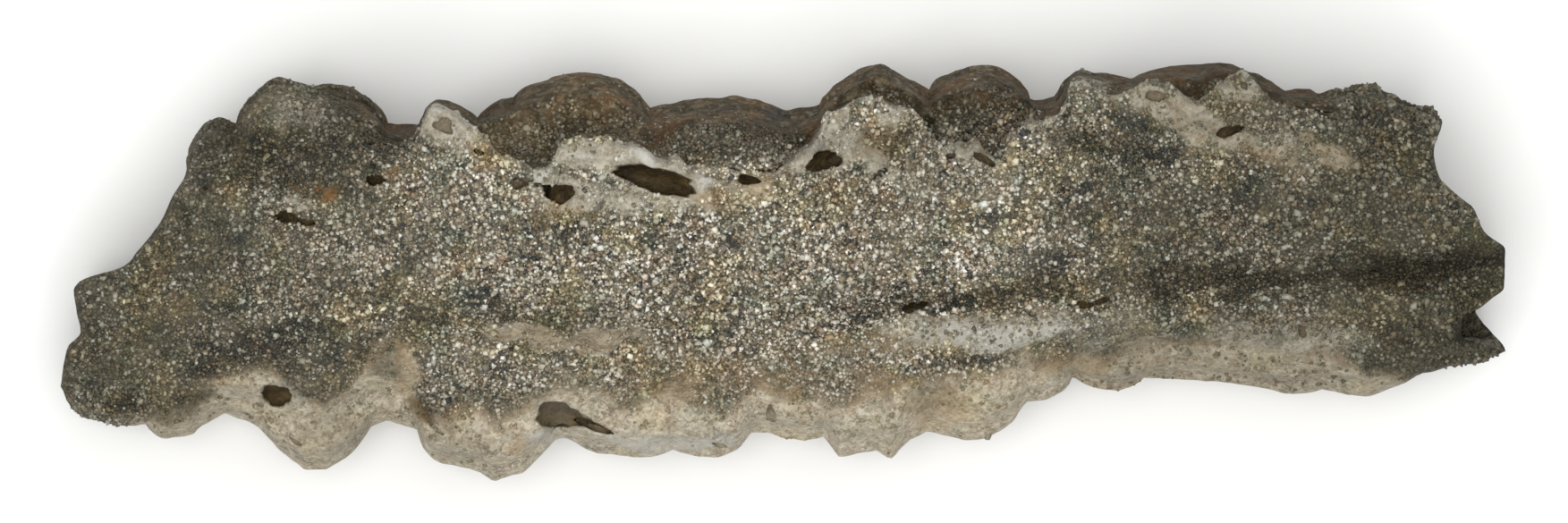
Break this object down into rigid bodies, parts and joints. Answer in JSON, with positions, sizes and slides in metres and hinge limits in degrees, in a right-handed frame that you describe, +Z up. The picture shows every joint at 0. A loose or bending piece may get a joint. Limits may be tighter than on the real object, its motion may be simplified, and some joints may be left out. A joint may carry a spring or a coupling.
{
  "type": "fulgurite",
  "caption": "Hollow tube of sand fused by lightning, lying flat, with lobed wings along both sides, a jagged crest, gas holes and broken ends.",
  "frame": {"origin": "centre of the tube's outline seen from above, on the surface that it lies on", "axes": "+X along the tube to its right broken end, +Y across it towards the brown wing behind the crest, +Z up"},
  "size_m": [0.11, 0.0318, 0.0205],
  "materials": {
    "fused_sand": "rough, sand grains in a crust of dull glass"
  },
  "bodies": {
    "root": {"fulgurite": "fused_sand"}
  },
  "joints": []
}
